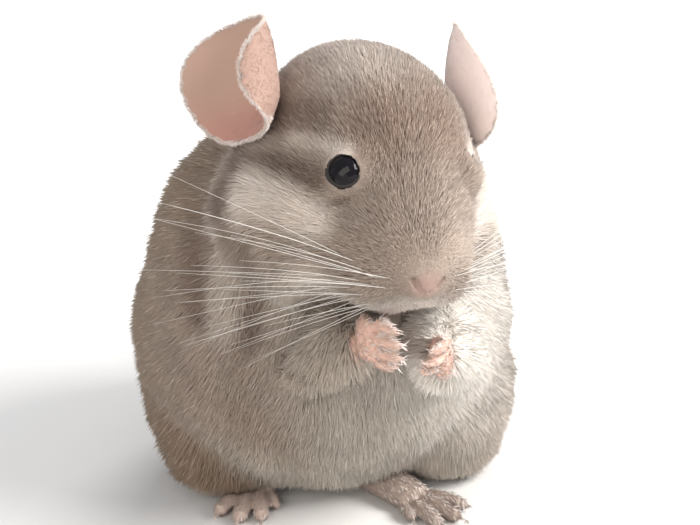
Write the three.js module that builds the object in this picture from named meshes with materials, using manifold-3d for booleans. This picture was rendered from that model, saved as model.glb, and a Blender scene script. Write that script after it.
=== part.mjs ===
// A domestic chinchilla sitting upright on its haunches, its forepaws held together under its chin.
// Millimetres, +Z up. The animal faces -Y and its left side is +X. Sizes reach to the tips of the coat.
import * as THREE from "three";
import { mergeVertices } from "three/addons/utils/BufferGeometryUtils.js";
import Module from "manifold-3d";

const wasm = await Module();
wasm.setup();

// Driving dimensions
const CROWN_HEIGHT = 141; // floor to the top of the head
const BODY_HALF_WIDTH = 60;
const HEAD_HALF_WIDTH = 30;
const HEAD_YAW = 0.17; // the head looks a little to the animal's left
const HEAD_PITCH = 0.38; // and down at the forepaws
const HEAD_ROLL = 0.14; // and leans to its left
const EYE_RADIUS = 5.6;
const EAR_HEIGHT = 39;
const EAR_FRONT_WIDTH = 24; // from the fold of the ear to its front edge, flattened
const EAR_BACK_WIDTH = 29;
const EAR_THICKNESS = 1.2;
const FOOT_LENGTH = 48;
const FINGER_LENGTH = 11;
const TAIL_WIDTH = 36; // across the brush of the tail
const WHISKER_LENGTH = 64;
const GAP = 0.3; // between neighbouring pieces
const SEED = 7;

const LEFT = 1;
const RIGHT = -1;
const SIDES = { left: LEFT, right: RIGHT };
const UP = new THREE.Vector3(0, 0, 1);

const vec = (x, y, z) => new THREE.Vector3(x, y, z);

// Seeded random numbers from 0 to 1
function dice(seed) {
  let state = seed;
  return () => {
    state = (state * 1664525 + 1013904223) % 4294967296;
    return state / 4294967296;
  };
}

// Forms: functions that say roughly how far a point is outside a shape

function egg(at, radii, turn = [0, 0, 0]) {
  const centre = vec(...at);
  const unturn = new THREE.Quaternion().setFromEuler(new THREE.Euler(...turn)).invert();
  const q = new THREE.Vector3();
  return (p) => {
    q.copy(p).sub(centre).applyQuaternion(unturn);
    const near = Math.hypot(q.x / radii[0], q.y / radii[1], q.z / radii[2]);
    const steep = Math.hypot(q.x / radii[0] ** 2, q.y / radii[1] ** 2, q.z / radii[2] ** 2);
    return steep < 1e-9 ? -Math.min(...radii) : (near * (near - 1)) / steep;
  };
}

// Joins forms with a soft fillet.
function melt(softness, ...forms) {
  return (p) =>
    forms
      .map((form) => form(p))
      .reduce((a, b) => {
        const share = Math.max(softness - Math.abs(a - b), 0) / softness;
        return Math.min(a, b) - (share * share * softness) / 4;
      });
}

// Presses a soft dent into a form, or raises it where depth is negative.
function dent(form, at, reach, depth) {
  const centre = vec(...at);
  return (p) => form(p) + depth * Math.exp(-p.distanceToSquared(centre) / reach ** 2);
}

// The point where a ray from inside a form leaves it
function surfacePoint(form, centre, direction, lift = 0) {
  const p = new THREE.Vector3();
  let reach = 120;
  for (let i = 0; i < 120; i++) {
    const gap = form(p.copy(centre).addScaledVector(direction, reach)) - lift;
    reach -= gap * 0.8;
    if (Math.abs(gap) < 0.002) break;
  }
  return p.copy(centre).addScaledVector(direction, reach);
}

// The outward direction of a form's surface at a point
function outward(form, p) {
  const step = 0.4;
  const slope = (axis) => form(p.clone().addScaledVector(axis, step)) - form(p.clone().addScaledVector(axis, -step));
  return vec(slope(vec(1, 0, 0)), slope(vec(0, 1, 0)), slope(vec(0, 0, 1))).normalize();
}

// Shapes: closed geometries made from three.js primitives

function welded(geometry) {
  const plain = geometry.clone();
  for (const name of Object.keys(plain.attributes)) {
    if (name !== "position") plain.deleteAttribute(name);
  }
  return mergeVertices(plain, 1e-4);
}

function moveVertices(geometry, move) {
  const shaped = welded(geometry);
  const position = shaped.attributes.position;
  const p = new THREE.Vector3();
  for (let i = 0; i < position.count; i++) {
    const moved = move(p.fromBufferAttribute(position, i));
    position.setXYZ(i, moved.x, moved.y, moved.z);
  }
  return shaped;
}

// Shrinks a geodesic ball onto a form. Its faces are finest towards the point that it looks at.
function skin(form, centre, detail, { lift = 0, look = null, gather = 0 } = {}) {
  const middle = vec(...centre);
  const gaze = look && vec(...look).normalize();
  return moveVertices(new THREE.IcosahedronGeometry(1, detail), (p) => {
    const direction = p.clone().normalize();
    if (gaze) {
      const angle = direction.angleTo(gaze);
      const axis = gaze.clone().cross(direction);
      if (axis.length() > 1e-6) {
        const turned = angle - gather * Math.sin(angle);
        direction.copy(gaze).applyAxisAngle(axis.normalize(), turned);
      }
    }
    return surfacePoint(form, middle, direction, lift);
  });
}

// Bends a ball along a curve, with its half width and half thickness given from end to end.
function bentBall(curve, { wide, thick, upright = UP, sides = 8, steps = 8 }) {
  return moveVertices(new THREE.SphereGeometry(1, sides, steps), (p) => {
    const along = Math.acos(THREE.MathUtils.clamp(p.y, -1, 1)) / Math.PI;
    const ring = Math.hypot(p.x, p.z);
    const at = curve.getPointAt(along);
    if (ring < 1e-6) return at;
    const tangent = curve.getTangentAt(along);
    const reference = typeof upright === "function" ? upright(along) : upright;
    const side = reference.clone().cross(tangent).normalize();
    const top = tangent.clone().cross(side);
    return at
      .addScaledVector(side, (wide(along) * p.x) / ring)
      .addScaledVector(top, (thick(along) * -p.z) / ring);
  });
}

const through = (...points) => new THREE.CatmullRomCurve3(points.map((p) => (p.isVector3 ? p : vec(...p))));

// A round-ended profile that keeps its radius for most of its length
const roundEnds = (radius, cap = 0.2) => (t) => {
  const end = Math.min(t, 1 - t) / cap;
  return radius * (end >= 1 ? 1 : Math.sqrt(Math.max(0, 1 - (1 - end) ** 2)));
};

// Solids: joining and cutting

function solid(geometry) {
  const mesh = welded(geometry);
  const made = new wasm.Manifold(
    new wasm.Mesh({
      numProp: 3,
      vertProperties: new Float32Array(mesh.attributes.position.array),
      triVerts: new Uint32Array(mesh.index.array),
    }),
  );
  if (made.volume() > 0) return made;
  const turned = new Uint32Array(mesh.index.array);
  for (let i = 0; i < turned.length; i += 3) [turned[i + 1], turned[i + 2]] = [turned[i + 2], turned[i + 1]];
  return new wasm.Manifold(
    new wasm.Mesh({
      numProp: 3,
      vertProperties: new Float32Array(mesh.attributes.position.array),
      triVerts: turned,
    }),
  );
}

const join = (...solids) => solids.reduce((a, b) => a.add(b));
const cut = (whole, ...tools) => tools.reduce((a, b) => a.subtract(b), whole);

function largest(made) {
  return made.decompose().reduce((a, b) => (a.volume() > b.volume() ? a : b));
}

function geometryOf(made) {
  const mesh = made.getMesh();
  const geometry = new THREE.BufferGeometry();
  geometry.setAttribute("position", new THREE.BufferAttribute(new Float32Array(mesh.vertProperties), 3));
  geometry.setIndex(new THREE.BufferAttribute(new Uint32Array(mesh.triVerts), 1));
  return geometry;
}

const floor = solid(new THREE.BoxGeometry(800, 800, 100).translate(0, 0, -50));

// Colours of the coat and skin
const COAT = { color: 0x9c8c7f, roughness: 0.9, metalness: 0 };
const PALE_COAT = { color: 0xcfc3b6, roughness: 0.9, metalness: 0 };
const PINK = { color: 0xd8b3a4, roughness: 0.6, metalness: 0 };
const EYE_BLACK = { color: 0x0c0b0e, roughness: 0.08, metalness: 0 };

const chinchilla = new THREE.Group();

// Adds a piece whose solid is in the body's frame to a group at that group's own pose.
function addPiece(name, made, finish, group = chinchilla) {
  group.updateWorldMatrix(true, false);
  const geometry = geometryOf(largest(made)).applyMatrix4(group.matrixWorld.clone().invert());
  const mesh = new THREE.Mesh(geometry, new THREE.MeshStandardMaterial(finish));
  mesh.name = name;
  group.add(mesh);
}

// Head frame: the head faces -Y of its own group
const head = new THREE.Group();
head.position.set(3, -26, CROWN_HEIGHT - 33);
head.rotation.set(HEAD_PITCH, HEAD_ROLL, HEAD_YAW, "ZYX");
chinchilla.add(head);
head.updateMatrixWorld(true);
const fromHead = (x, y, z) => vec(x, y, z).applyMatrix4(head.matrixWorld);

const pair = (x, y, z, radii, turn = [0, 0, 0]) => [
  egg([x, y, z], radii, turn),
  egg([-x, y, z], radii, [turn[0], -turn[1], -turn[2]]),
];

const W = HEAD_HALF_WIDTH;
const EYE_TOWARDS = (side) =>
  (side === LEFT ? vec(0.71, -0.56, 0.42) : vec(-0.64, -0.63, 0.44)).normalize();
const skull = melt(
  9,
  egg([0, 0.14 * W, 0.08 * W], [1.04 * W, 1.28 * W, 1.03 * W]),
  ...pair(0.62 * W, -0.1 * W, -0.48 * W, [0.76 * W, 0.9 * W, 0.76 * W]),
  egg([0, -0.83 * W, -0.12 * W], [0.7 * W, 0.7 * W, 0.62 * W]),
);
const muzzle = melt(
  5,
  skull,
  ...pair(0.33 * W, -1.13 * W, -0.32 * W, [0.38 * W, 0.38 * W, 0.34 * W]),
  egg([0, -0.95 * W, -0.62 * W], [0.34 * W, 0.36 * W, 0.26 * W]),
  egg([0, -1.42 * W, -0.17 * W], [0.2 * W, 0.16 * W, 0.19 * W]),
);
const headForm = [LEFT, RIGHT].reduce((form, side) => {
  const at = surfacePoint(muzzle, vec(0, 0, 0), EYE_TOWARDS(side));
  return dent(form, at.toArray(), 7, 1.2);
}, muzzle);

function headSkin(lift) {
  const look = [0, -1, -0.1];
  return skin(headForm, [0, -4, 0], 8, { lift, look, gather: 0.3 }).applyMatrix4(head.matrixWorld);
}

const headWhole = solid(headSkin(0));
const headClear = solid(headSkin(GAP));

// Eyes: whole balls in open sockets, ringed by lids
function eyeSeat(side) {
  const at = surfacePoint(headForm, vec(0, 0, 0), EYE_TOWARDS(side));
  const out = outward(headForm, at);
  return { at, out, centre: at.clone().addScaledVector(out, -0.6 * EYE_RADIUS) };
}

function eyeBall(side, lift) {
  const { centre } = eyeSeat(side);
  return solid(
    new THREE.SphereGeometry(EYE_RADIUS + lift, 18, 12).translate(...centre).applyMatrix4(head.matrixWorld),
  );
}

function eyeLids(side) {
  const { at, out } = eyeSeat(side);
  const ring = new THREE.TorusGeometry(0.86 * EYE_RADIUS, 1, 5, 18);
  ring.scale(1.12, 0.94, 1);
  const facing = new THREE.Matrix4().lookAt(out, vec(0, 0, 0), vec(0, 0, 1)).setPosition(at);
  return solid(ring.applyMatrix4(facing).applyMatrix4(head.matrixWorld));
}

// Nostrils: slanted slits at the sides of the nose
function nostril(side) {
  const slit = new THREE.SphereGeometry(1, 8, 6).scale(0.9, 2.2, 1.9);
  slit.rotateY(side * 0.5).rotateZ(side * 0.35);
  slit.translate(side * 0.11 * W, -1.56 * W, -0.16 * W);
  return solid(slit.applyMatrix4(head.matrixWorld));
}

// The line of the mouth, with the split of the upper lip above it
const MOUTH_HALF_ANGLE = 0.55;
function faceLine(directions, radius) {
  const points = directions.map((d) => surfacePoint(headForm, vec(0, -0.9 * W, -0.3 * W), d.normalize()));
  const line = through(...points);
  const shape = { wide: roundEnds(radius), thick: roundEnds(radius), sides: 5, steps: 10 };
  return solid(bentBall(line, { ...shape, upright: vec(0, -0.6, -0.8) }).applyMatrix4(head.matrixWorld));
}
const mouthDirections = [-1, -0.6, -0.2, 0.2, 0.6, 1].map((t) =>
  vec(Math.sin(t * MOUTH_HALF_ANGLE), -0.55 + 0.12 * t * t, -0.62 - 0.1 * t * t),
);
const lipSplit = [0, 0.5, 1].map((t) => vec(0, -0.9 + 0.33 * t, -0.25 - 0.38 * t));

let headSolid = headWhole;
for (const side of [LEFT, RIGHT]) headSolid = join(headSolid, eyeLids(side));
for (const side of [LEFT, RIGHT]) headSolid = cut(headSolid, eyeBall(side, GAP), nostril(side));
headSolid = cut(headSolid, faceLine(mouthDirections, 0.9), faceLine(lipSplit, 0.7));

// Ears: cupped shells that open sideways, their front edges curled over
const EAR_SEAT = { [LEFT]: [1.06 * W, 0.7 * W, 0.54 * W], [RIGHT]: [0.96 * W, 0.7 * W, 0.6 * W] };
const EAR_OPENS = { [LEFT]: 1.12, [RIGHT]: 1.36 }; // angle from straight ahead
const EAR_LEAN = { [LEFT]: 0.1, [RIGHT]: 0.6 }; // backwards
const EAR_FRONT_DROP = { [LEFT]: 0, [RIGHT]: 0.2 }; // how much lower the top is in front
const EAR_BACK_TAPER = { [LEFT]: 0.2, [RIGHT]: -0.12 }; // how much narrower the top is
const EAR_FULLNESS = { [LEFT]: 1, [RIGHT]: 0.75 }; // below 1 squares the back of the ear
const EAR_CURL_FRONT = { [LEFT]: 20, [RIGHT]: 11 };
const EAR_CURL_BACK = { [LEFT]: 45, [RIGHT]: 29 };

function earShell(side, lift) {
  const shell = moveVertices(new THREE.SphereGeometry(1, 22, 12), (p) => {
    const fromPole = Math.acos(THREE.MathUtils.clamp(p.y, -1, 1));
    const face = fromPole < Math.PI / 2 ? 1 : -1;
    const reach = Math.min(fromPole, Math.PI - fromPole) / (Math.PI / 2);
    const around = Math.atan2(p.z, p.x);
    const ahead = Math.cos(around);
    const low = around > 0 ? EAR_FRONT_DROP[side] * THREE.MathUtils.smoothstep(ahead, -0.5, 0.7) : 0;
    const up = Math.sin(around) * reach * (1 - low);
    const taper = ahead > 0 ? 0.35 : EAR_BACK_TAPER[side];
    const across = Math.sign(ahead) * Math.abs(ahead) ** (ahead > 0 ? 1 : EAR_FULLNESS[side]) * reach * (1 - taper * Math.sin(around));
    const s = across * (across > 0 ? EAR_FRONT_WIDTH : EAR_BACK_WIDTH);
    const radius = s > 0 ? EAR_CURL_FRONT[side] : EAR_CURL_BACK[side];
    const bend = s / radius;
    const cup = radius * (1 - Math.cos(bend)) + 10 * Math.max(0, -up - 0.3) ** 2 + 2 * up * up;
    const half = (EAR_THICKNESS / 2) * Math.sqrt(Math.max(0, 1 - reach ** 4)) + 0.25 + lift;
    const normal = vec(-Math.sin(bend), 0, Math.cos(bend));
    return vec(radius * Math.sin(bend), (up * EAR_HEIGHT) / 2, cup).addScaledVector(normal, face * half);
  });
  // x forward, y up the ear, z out of its opening
  const opens = vec(Math.sin(EAR_OPENS[side]), -Math.cos(EAR_OPENS[side]), 0.1).normalize();
  const front = opens.clone().cross(vec(0.2, EAR_LEAN[side], 1)).normalize();
  const tip = front.clone().cross(opens);
  shell.applyMatrix4(new THREE.Matrix4().makeBasis(front, tip, opens));
  if (side === RIGHT) shell.scale(-1, 1, 1);
  shell.applyMatrix4(new THREE.Matrix4().makeRotationFromEuler(new THREE.Euler(0, HEAD_ROLL, HEAD_YAW, "ZYX")));
  const [out, back, up] = EAR_SEAT[side]; // middle of the fold, in the head frame
  return solid(shell.translate(...fromHead(side * out, back, up)));
}

// Whisker pads at the sides of the muzzle, with the longest whiskers
const MUZZLE_MIDDLE = [0, -0.7 * W, -0.25 * W];
const WHISKERS = 12;

const muzzlePoint = (x, y, z, depth) =>
  surfacePoint(headForm, vec(...MUZZLE_MIDDLE), vec(x, y, z).normalize(), -depth);

function pad(side, lift) {
  const ball = new THREE.SphereGeometry(1, 12, 8).scale(0.13 * W + lift, 0.3 * W + lift, 0.24 * W + lift);
  ball.rotateZ(-side * 0.65).translate(...muzzlePoint(side * 0.85, -0.65, -0.24, 0.5));
  return solid(ball.applyMatrix4(head.matrixWorld));
}

function whisker(side, row, column, roll) {
  const root = muzzlePoint(side * (0.78 + 0.09 * column), -0.85 + 0.19 * column, 0.02 - 0.16 * row, 0.6);
  const rise = 0.3 - 0.3 * row + 0.05 * (roll() - 0.5);
  const back = 0.12 + 0.15 * column + 0.1 * roll();
  const way = vec(side * Math.cos(back), Math.sin(back), 0).multiplyScalar(Math.cos(rise)).setZ(Math.sin(rise));
  const reach = WHISKER_LENGTH * (0.72 + 0.12 * column) * (1 - 0.05 * row);
  const on = (share, drop) => root.clone().addScaledVector(way, reach * share).add(vec(0, 0.06 * reach * share ** 2, -drop));
  const line = through(on(0, 0), on(0.35, 0.02 * reach), on(0.7, 0.09 * reach), on(1, 0.2 * reach));
  const thin = (t) => 0.42 * (1 - t) + 0.05;
  return solid(bentBall(line, { wide: thin, thick: thin, sides: 3, steps: 4 }).applyMatrix4(head.matrixWorld));
}

function whiskerPad(side) {
  const roll = dice(SEED + side);
  const spines = [];
  for (let i = 0; i < WHISKERS; i++) spines.push(whisker(side, i % 4, Math.floor(i / 4), roll));
  const cheek = cut(headClear, pad(side, 0));
  return join(pad(side, 0).intersect(headWhole), cut(join(...spines), cheek));
}

// Torso, neck and haunches
const B = BODY_HALF_WIDTH;
const torsoForm = melt(
  14,
  egg([-1, 18, 0.76 * B], [0.975 * B, 0.86 * B, 0.8 * B]),
  egg([-1, -4, 0.82 * B], [0.955 * B, 0.72 * B, 0.78 * B]),
  egg([-1, -4, 1.3 * B], [0.855 * B, 0.66 * B, 0.6 * B]),
  egg([0, 16, 1.36 * B], [0.8 * B, 0.66 * B, 0.6 * B]),
);
const neckForm = egg([1, -8, 96], [38, 35, 27], [0.4, 0, 0]);
const haunchForm = (side) => {
  const ahead = side === LEFT ? 9 : 0; // the left leg is set further forward
  return melt(
    12,
    egg([side * 37, 9 - ahead, 31], [22, 32, 31], [0.1, 0, 0]),
    egg([side * 33, -4 - ahead, 18], [17, 16, 18.5]),
  );
};

const neckSkin = (lift) => solid(skin(neckForm, [1, -8, 96], 4, { lift }));
const haunchSkin = (side, lift) => solid(skin(haunchForm(side), [side * 36, -4, 28], 4, { lift }));
const torsoSkin = (lift) => solid(skin(torsoForm, [0, 4, 60], 6, { lift }));
const haunchesClear = [LEFT, RIGHT].map((side) => haunchSkin(side, GAP));
const torsoClear = torsoSkin(GAP);
const neckClear = neckSkin(GAP);

// Forelegs: short forearms out of the chest, their paws held round an empty space under the chin
const GRIP = [4, -62, 69];
const GRIP_RADIUS = 8.2;
const GRIP_RISE = { left: -0.55, right: 0.02 }; // the left paw is held a little lower

function pawPoint(side, around, rise, radius) {
  // around is the angle from straight sideways to straight ahead
  const level = Math.cos(rise) * radius;
  const p = vec(side * Math.cos(around) * level, -Math.sin(around) * level, Math.sin(rise) * radius);
  return p.applyAxisAngle(UP, -0.2).add(vec(...GRIP));
}

function paw(name, side, lift) {
  const rise = GRIP_RISE[name];
  const wrist = pawPoint(side, -0.75, rise - 0.15, GRIP_RADIUS + 6);
  const palmLine = through(
    wrist,
    pawPoint(side, -0.2, rise, GRIP_RADIUS + 4.2),
    pawPoint(side, 0.45, rise, GRIP_RADIUS + 2.4),
  );
  const pieces = [
    solid(
      bentBall(palmLine, {
        wide: roundEnds(2.8 + lift, 0.35),
        thick: roundEnds(6.6 + lift, 0.4),
        sides: 10,
        steps: 7,
      }),
    ),
  ];
  for (const [i, spread] of [0.58, 0.2, -0.18, -0.54].entries()) {
    const reach = (FINGER_LENGTH / (GRIP_RADIUS + 1.5)) * (i === 0 || i === 3 ? 0.84 : 1);
    const bend = [0, 0.4, 0.75, 1].map((t) =>
      pawPoint(side, -0.1 + t * (reach + 0.3), rise + spread * (1 - 0.1 * t), GRIP_RADIUS + 2.4 - 0.6 * t),
    );
    const slim = (t) => roundEnds(1.9 + lift, 0.25)(t) * (1 - 0.2 * t);
    pieces.push(solid(bentBall(through(...bend), { wide: slim, thick: slim, sides: 7, steps: 6 })));
  }
  return join(...pieces);
}

function foreleg(name, side) {
  const wrist = pawPoint(side, -0.7, GRIP_RISE[name] - 0.15, GRIP_RADIUS + 5.6);
  const elbow = vec(side * 26, -24, 56);
  const middle = wrist.clone().lerp(elbow, 0.5).add(vec(side * 3, -3, -2));
  return solid(
    bentBall(through(elbow, middle, wrist), {
      wide: (t) => roundEnds(11 - 5 * t, 0.2)(t),
      thick: (t) => roundEnds(11 - 4 * t, 0.2)(t),
      sides: 12,
      steps: 8,
    }),
  );
}

// Hind feet: long flat soles, three long toes and a short inner one, each with a blunt claw
const FEET = {
  left: { heel: [3, -8], turn: 0.5 },
  right: { heel: [-18, 12], turn: -0.42 },
};
const SOLE_SHARE = 0.68;
const TOES = [
  { spread: 0.42, length: 0.2, radius: 1.9, root: -0.9 },
  { spread: 0.16, length: 0.36, radius: 2.6, root: -0.45 },
  { spread: -0.06, length: 0.4, radius: 2.7, root: 0.15 },
  { spread: -0.32, length: 0.34, radius: 2.6, root: 0.72 },
];

function hindFoot(name, side) {
  const { heel, turn } = FEET[name];
  const ahead = vec(Math.sin(turn), -Math.cos(turn), 0);
  const across = vec(-ahead.y, ahead.x, 0).multiplyScalar(side); // towards the outer toe
  const start = vec(heel[0], heel[1], 0);
  const at = (along, out, height) =>
    start.clone().addScaledVector(ahead, along * FOOT_LENGTH).addScaledVector(across, out).setZ(height);
  const sole = bentBall(through(at(-0.05, 0, 5.4), at(0.3, 0, 4.6), at(SOLE_SHARE, 0, 2.8)), {
    wide: (t) => roundEnds(5.4 + 2.4 * t, 0.22)(t),
    thick: (t) => roundEnds(6.4 - 2.8 * t, 0.25)(t),
    sides: 10,
    steps: 8,
  });
  const pieces = [solid(sole)];
  for (const toe of TOES) {
    const way = ahead.clone().applyAxisAngle(UP, -side * toe.spread);
    const root = at(SOLE_SHARE - 0.1, toe.root * 5.6, 2.4);
    const length = toe.length * FOOT_LENGTH;
    const on = (share, height) => root.clone().addScaledVector(way, length * share).setZ(height);
    pieces.push(
      solid(
        bentBall(through(root, on(0.45, 2.8), on(0.8, 2.1), on(1, 1.7)), {
          wide: (t) => roundEnds(toe.radius, 0.2)(t),
          thick: (t) => roundEnds(toe.radius * 0.95, 0.2)(t),
          sides: 7,
          steps: 6,
        }),
      ),
      solid(
        bentBall(through(on(0.86, 2.5), on(1.05, 2), on(1.2, 0.8)), {
          wide: (t) => 0.9 * (1 - t) + 0.1,
          thick: (t) => 1.1 * (1 - t) + 0.1,
          sides: 5,
          steps: 4,
        }),
      ),
    );
  }
  return cut(join(...pieces), floor);
}

// Tail: a slim core on the floor behind, brushed with long coarse locks
const tailLine = through([0, 48, 14], [0, 74, 13], [4, 104, 13], [16, 132, 13], [34, 150, 13]);
const TAIL_PARTS = { tail_root: [0, 0.36, 16], tail_middle: [0.36, 0.68, 19], tail_tip: [0.68, 1, 24] };
const TAIL_CORE = 8;
const LOCK_LENGTH = 26;

function tailPart(name, lift) {
  const [from, to, locks] = TAIL_PARTS[name];
  const roll = dice(SEED + locks);
  const share = (t) => from + (to - from) * t;
  const core = through(...[0, 0.33, 0.67, 1].map((t) => tailLine.getPointAt(share(t))));
  const stout = (t) => (TAIL_CORE + lift) * roundEnds(1, 0.12)(t) * (1 - 0.35 * share(t) ** 2);
  let made = solid(bentBall(core, { wide: stout, thick: stout, sides: 10, steps: 8 }));
  for (let i = 0; i < locks; i++) {
    const t = share(0.06 + (0.82 * (i + 0.5)) / locks);
    const root = tailLine.getPointAt(t);
    const along = tailLine.getTangentAt(t);
    const turn = i * 2.4 + 0.5 * roll();
    const out = vec(1, 0, 0).cross(along).normalize().applyAxisAngle(along, turn);
    const brush = (TAIL_WIDTH / 2) * (0.78 + 0.3 * Math.sin(Math.PI * t)) * (0.9 + 0.2 * roll());
    const reach = LOCK_LENGTH * (0.85 + 0.3 * roll()) * (0.8 + 0.3 * t);
    const on = (ahead, away) => root.clone().addScaledVector(along, ahead * reach).addScaledVector(out, away);
    const line = through(on(0, 2), on(0.3, 0.5 * brush), on(0.65, 0.85 * brush), on(1, brush));
    const leaf = (width) => (s) => width * Math.sin(Math.PI * Math.min(1, 0.3 + 0.7 * s)) ** 0.8 + lift + 0.05;
    made = join(made, solid(bentBall(line, { wide: leaf(3.6), thick: leaf(1.1), upright: out, sides: 4, steps: 4 })));
  }
  return cut(made, floor);
}

// Assembly
const padsClear = [LEFT, RIGHT].map((side) => pad(side, GAP));
addPiece("head", cut(headSolid, ...padsClear), COAT, head);
for (const [name, side] of Object.entries(SIDES)) {
  addPiece("eye_" + name, eyeBall(side, 0), EYE_BLACK, head);
  addPiece("ear_" + name, cut(earShell(side, 0), headClear), PINK, head);
  addPiece("whiskers_" + name, cut(whiskerPad(side), torsoClear, neckClear), PALE_COAT, head);
}
addPiece("neck", cut(neckSkin(0), headClear), COAT);
addPiece("torso", cut(torsoSkin(0), headClear, neckClear, ...haunchesClear, floor), COAT);
for (const [name, side] of Object.entries(SIDES)) {
  addPiece("haunch_" + name, cut(haunchSkin(side, 0), floor), COAT);
  const clearOfBody = [torsoClear, headClear, haunchSkin(side, GAP), neckClear];
  addPiece("forepaw_" + name, cut(paw(name, side, 0), ...clearOfBody), PINK);
  addPiece("foreleg_" + name, cut(foreleg(name, side), paw(name, side, GAP), ...clearOfBody), PALE_COAT);
  addPiece("hind_foot_" + name, cut(hindFoot(name, side), ...clearOfBody), PINK);
}
let tailSoFar = torsoClear;
for (const name of Object.keys(TAIL_PARTS)) {
  addPiece(name, cut(tailPart(name, 0), tailSoFar), COAT);
  tailSoFar = join(tailSoFar, tailPart(name, GAP));
}

// Origin: on the floor, in the middle of the whole
const reach = new THREE.Box3().setFromObject(chinchilla, true);
const middle = reach.getCenter(new THREE.Vector3());
chinchilla.position.set(-middle.x, -middle.y, -reach.min.z);

export default chinchilla;
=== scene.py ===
import math

import bmesh
import bpy
import numpy as np
from mathutils import Euler, Matrix, Vector
from mathutils.bvhtree import BVHTree


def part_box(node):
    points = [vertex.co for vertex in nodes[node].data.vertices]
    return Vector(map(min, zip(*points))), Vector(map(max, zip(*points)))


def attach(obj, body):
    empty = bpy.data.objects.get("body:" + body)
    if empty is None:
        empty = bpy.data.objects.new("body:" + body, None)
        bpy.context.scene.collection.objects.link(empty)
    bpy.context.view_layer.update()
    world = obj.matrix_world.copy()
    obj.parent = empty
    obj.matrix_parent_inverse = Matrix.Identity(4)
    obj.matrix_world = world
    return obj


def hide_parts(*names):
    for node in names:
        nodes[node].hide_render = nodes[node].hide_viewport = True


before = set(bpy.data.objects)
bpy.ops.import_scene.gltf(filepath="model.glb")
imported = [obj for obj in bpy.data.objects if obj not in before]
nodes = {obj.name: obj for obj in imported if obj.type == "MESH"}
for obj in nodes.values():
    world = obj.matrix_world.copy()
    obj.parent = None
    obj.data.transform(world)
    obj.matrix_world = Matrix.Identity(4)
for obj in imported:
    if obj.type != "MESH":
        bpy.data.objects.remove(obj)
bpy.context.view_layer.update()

MM = 0.001
SEED = 11

# Placement shared with the solids
WHOLE_SHIFT_MM = np.array([-0.196, -51.927, 0.0])
HEAD_AT_MM = np.array([3.0, -26.0, 108.0])
HEAD_TURN = Euler((0.38, 0.14, 0.17), "XYZ")
HEAD_AXES = np.array(HEAD_TURN.to_matrix())
GRIP_AT_MM = np.array([4.0, -64.0, 66.0])  # where the forepaws meet
FLOOR_GAP = 0.1 * MM


def from_head(x, y, z):
    """A point of the head's own frame, in millimetres, as a point of the whole in metres."""
    return (HEAD_AXES @ np.array([x, y, z]) + HEAD_AT_MM + WHOLE_SHIFT_MM) * MM


def from_body(x, y, z):
    return (np.array([x, y, z]) + WHOLE_SHIFT_MM) * MM


def head_way(x, y, z):
    way = HEAD_AXES @ np.array([x, y, z], float)
    return way / np.linalg.norm(way)


def in_head_frame(points):
    return (points / MM - WHOLE_SHIFT_MM - HEAD_AT_MM) @ HEAD_AXES


def unit(v):
    return v / np.maximum(np.linalg.norm(v, axis=-1, keepdims=True), 1e-12)


def smooth_step(x, low, high):
    t = np.clip((x - low) / (high - low), 0, 1)
    return t * t * (3 - 2 * t)


# Meshes: small helpers round Blender's own tools


def deselect_all():
    bpy.ops.object.select_all(action="DESELECT")


def make_active(piece):
    deselect_all()
    piece.select_set(True)
    bpy.context.view_layer.objects.active = piece


def copy_of(node_name, grow=0.0):
    """A merged copy of a solid, with its skin moved outwards by grow."""
    piece = nodes[node_name].copy()
    piece.data = nodes[node_name].data.copy()
    piece.parent = None
    for key in [k for k in piece.keys() if k.startswith("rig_")]:
        del piece[key]
    piece.name = node_name + "_copy"
    bpy.context.scene.collection.objects.link(piece)
    mesh = bmesh.new()
    mesh.from_mesh(piece.data)
    bmesh.ops.remove_doubles(mesh, verts=mesh.verts, dist=1e-6)
    bmesh.ops.recalc_face_normals(mesh, faces=mesh.faces)
    if grow:
        mesh.normal_update()
        for v in mesh.verts:
            v.co += v.normal * grow
    mesh.to_mesh(piece.data)
    mesh.free()
    return piece


def joined(pieces, name):
    make_active(pieces[0])
    for piece in pieces:
        piece.select_set(True)
    bpy.ops.object.join()
    whole = bpy.context.view_layer.objects.active
    whole.name = name
    return whole


def apply_modifier(piece, kind, **settings):
    make_active(piece)
    modifier = piece.modifiers.new(kind.title(), kind)
    for key, value in settings.items():
        setattr(modifier, key, value)
    bpy.ops.object.modifier_apply(modifier=modifier.name)


def remeshed(piece, voxel, smooth_steps, smooth_factor=0.5):
    apply_modifier(piece, "REMESH", mode="VOXEL", voxel_size=voxel, use_smooth_shade=True)
    if smooth_steps:
        apply_modifier(piece, "SMOOTH", factor=smooth_factor, iterations=smooth_steps)
    return piece


def keep_largest(piece):
    """Removes loose scraps, keeping the part with the most faces."""
    mesh = bmesh.new()
    mesh.from_mesh(piece.data)
    unseen = set(mesh.verts)
    parts = []
    while unseen:
        start = unseen.pop()
        part, edge = [start], [start]
        while edge:
            v = edge.pop()
            for e in v.link_edges:
                w = e.other_vert(v)
                if w in unseen:
                    unseen.discard(w)
                    part.append(w)
                    edge.append(w)
        parts.append(part)
    parts.sort(key=len)
    for part in parts[:-1]:
        bmesh.ops.delete(mesh, geom=part, context="VERTS")
    mesh.to_mesh(piece.data)
    mesh.free()


def points_of(piece):
    co = np.empty(len(piece.data.vertices) * 3, np.float64)
    piece.data.vertices.foreach_get("co", co)
    return co.reshape(-1, 3)


def normals_of(piece):
    no = np.empty(len(piece.data.vertices) * 3, np.float32)
    piece.data.vertex_normals.foreach_get("vector", no)
    return no.reshape(-1, 3).astype(np.float64)


def set_points(piece, co):
    piece.data.vertices.foreach_set("co", co.astype(np.float32).ravel())
    piece.data.update()


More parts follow.
